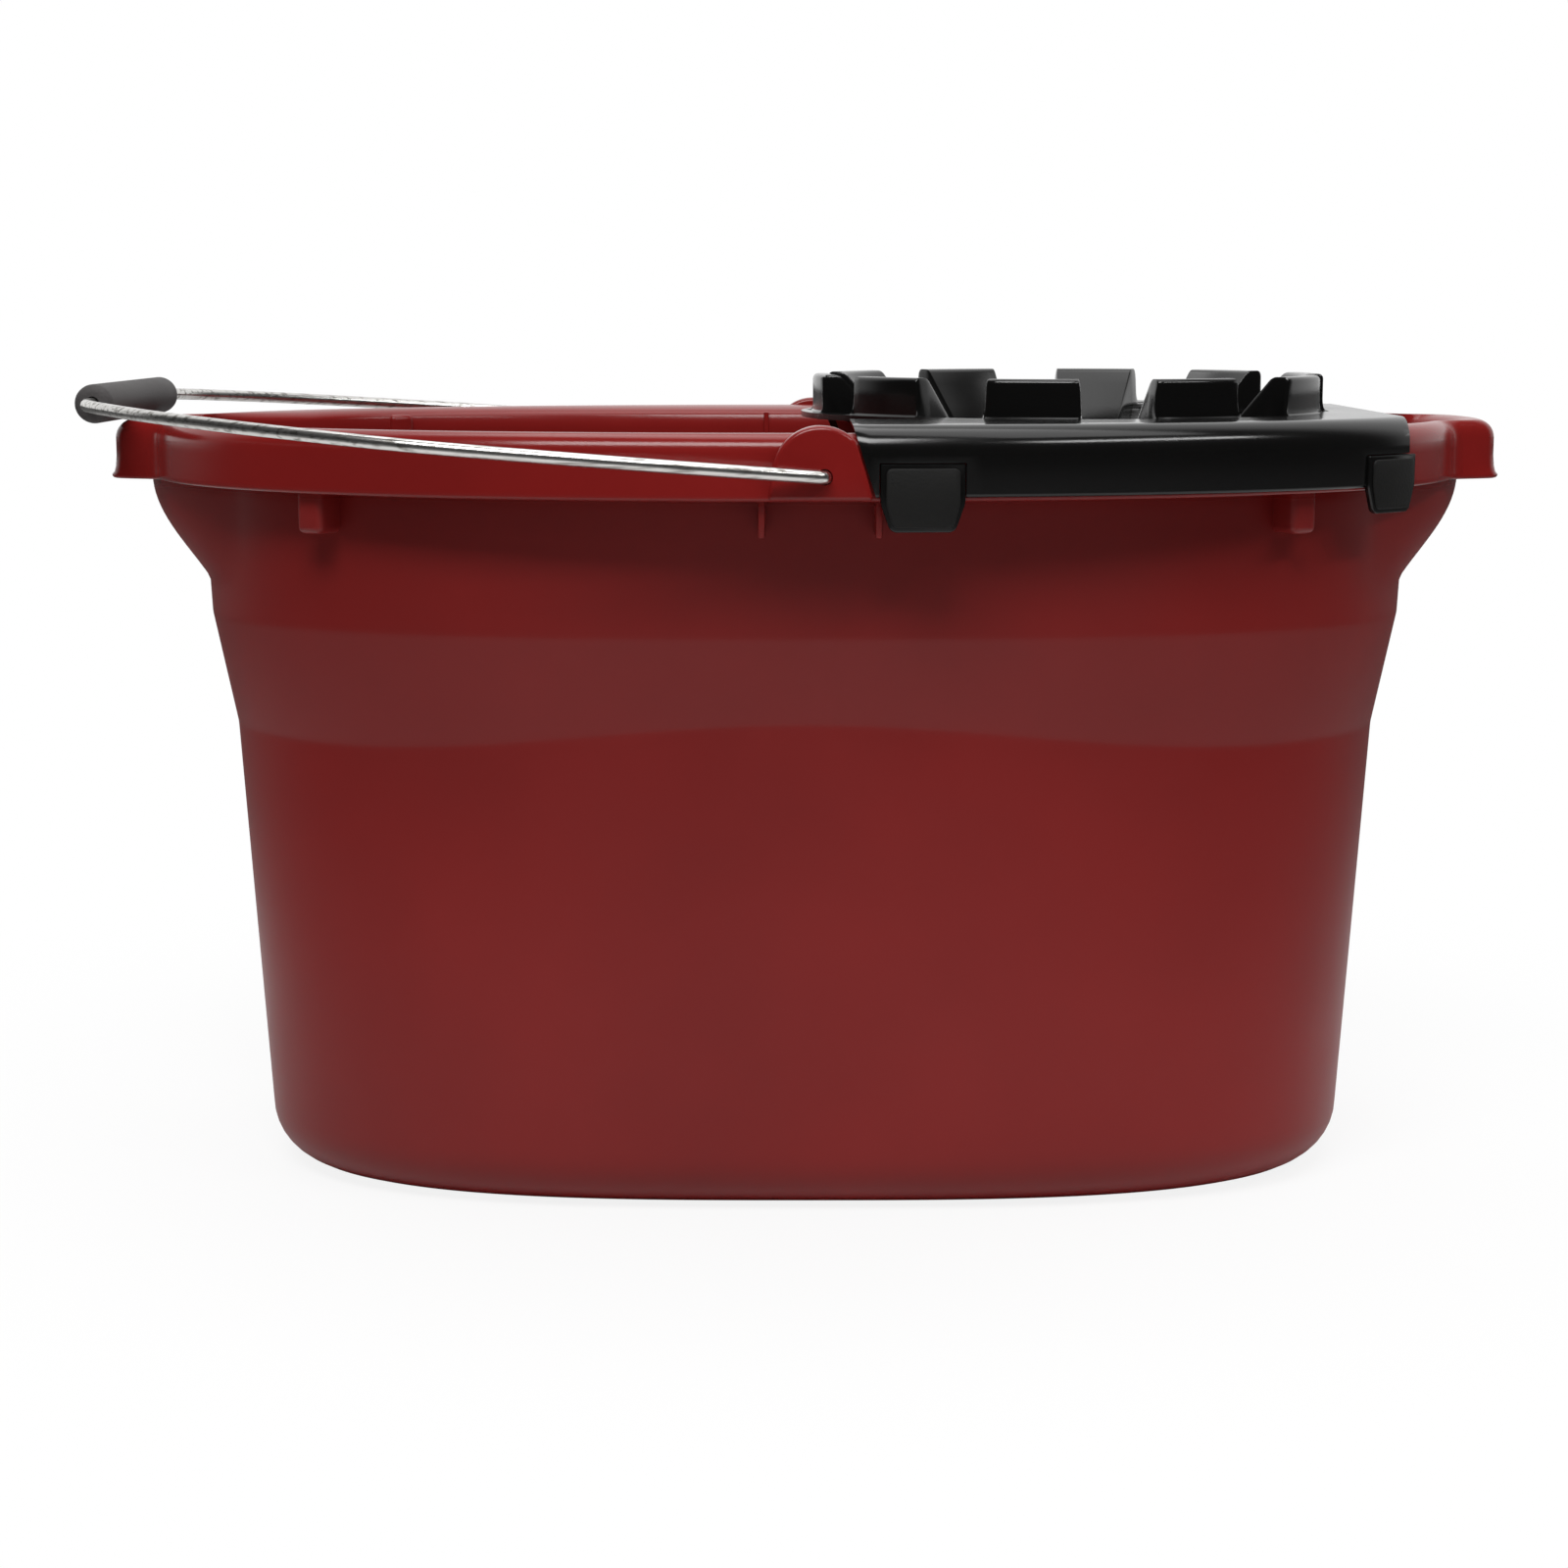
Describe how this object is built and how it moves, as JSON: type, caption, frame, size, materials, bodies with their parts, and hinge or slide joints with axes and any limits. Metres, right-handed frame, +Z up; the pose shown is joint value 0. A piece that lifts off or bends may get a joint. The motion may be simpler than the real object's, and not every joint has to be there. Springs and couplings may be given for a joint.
{
  "type": "wash bucket",
  "caption": "Oval wash bucket with pour spouts at its ends, a clip-on cone wringer over one half and a swinging wire bail with a loose grip.",
  "frame": {"origin": "on the resting surface, under the middle of the bounding box", "axes": "+X along the bucket towards the wringer end, +Y across it, +Z up"},
  "size_m": [0.4705, 0.3086, 0.2637],
  "materials": {
    "bucket_red": "semi-gloss dark red polypropylene",
    "wringer_black": "gloss black polypropylene",
    "tab_black": "fine matt texture",
    "bail_wire": "bright zinc plated wire",
    "grip_charcoal": "matt charcoal"
  },
  "bodies": {
    "bucket": {"bucket": "bucket_red", "front_ear": "bucket_red", "back_ear": "bucket_red"},
    "wringer": {"wringer": "wringer_black"},
    "front_left_tab": {"front_left_tab": "tab_black"},
    "front_right_tab": {"front_right_tab": "tab_black"},
    "back_left_tab": {"back_left_tab": "tab_black"},
    "back_right_tab": {"back_right_tab": "tab_black"},
    "bail": {"bail": "bail_wire"},
    "grip": {"grip": "grip_charcoal"}
  },
  "joints": [
    {"name": "bail_swing", "type": "hinge", "parent": "bucket", "child": "bail", "pos_m": [0.005, 0, 0.2365], "axis": [0, 1, 0], "range_deg": [0, 169]},
    {"name": "grip_spin", "type": "hinge", "parent": "bail", "child": "grip", "pos_m": [-0.2301, 0, 0.25503], "axis": [0, 1, 0], "continuous": true},
    {"name": "wringer_lift", "type": "slide", "parent": "bucket", "child": "wringer", "axis": [0, 0, 1], "range_m": [0, 0.15]},
    {"name": "front_left_tab_flex", "type": "hinge", "parent": "wringer", "child": "front_left_tab", "pos_m": [0.03404, -0.1365, 0.2402], "axis": [-0.9968, -0.0803, 0], "range_deg": [0, 8], "stiffness_Nm_per_rad": 0.3},
    {"name": "front_right_tab_flex", "type": "hinge", "parent": "wringer", "child": "front_right_tab", "pos_m": [0.18347, -0.08038, 0.2402], "axis": [-0.7354, -0.6777, 0], "range_deg": [0, 8], "stiffness_Nm_per_rad": 0.3},
    {"name": "back_left_tab_flex", "type": "hinge", "parent": "wringer", "child": "back_left_tab", "pos_m": [0.03404, 0.1365, 0.2402], "axis": [0.9968, -0.0803, 0], "range_deg": [0, 8], "stiffness_Nm_per_rad": 0.3},
    {"name": "back_right_tab_flex", "type": "hinge", "parent": "wringer", "child": "back_right_tab", "pos_m": [0.18347, 0.08038, 0.2402], "axis": [0.7354, -0.6777, 0], "range_deg": [0, 8], "stiffness_Nm_per_rad": 0.3}
  ]
}
